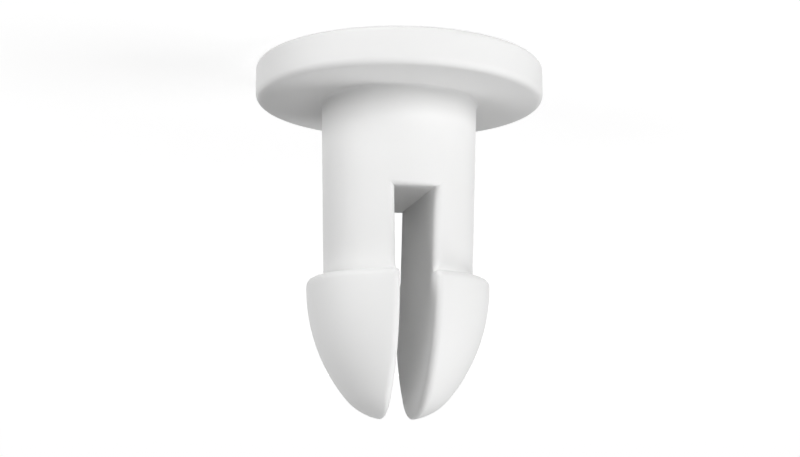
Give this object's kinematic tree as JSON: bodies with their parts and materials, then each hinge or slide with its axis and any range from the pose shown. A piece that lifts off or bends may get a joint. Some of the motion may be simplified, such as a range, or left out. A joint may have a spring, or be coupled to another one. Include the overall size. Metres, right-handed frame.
{
  "type": "push-in fastener",
  "caption": "Moulded plastic push-in fastener: a flat round head, a short round shank split by a slot, and a barbed nose that snaps into a round hole.",
  "frame": {"origin": "centre of the head's outer face", "axes": "+Z along the shank's axis from the head towards the tips; the slot runs through along Y, so the two legs lie on the +X and -X sides"},
  "size_m": [0.012, 0.012, 0.0147],
  "materials": {
    "white_plastic": "smooth, softly matt moulded white plastic"
  },
  "bodies": {
    "root": {"push_in_fastener": "white_plastic"}
  },
  "joints": []
}
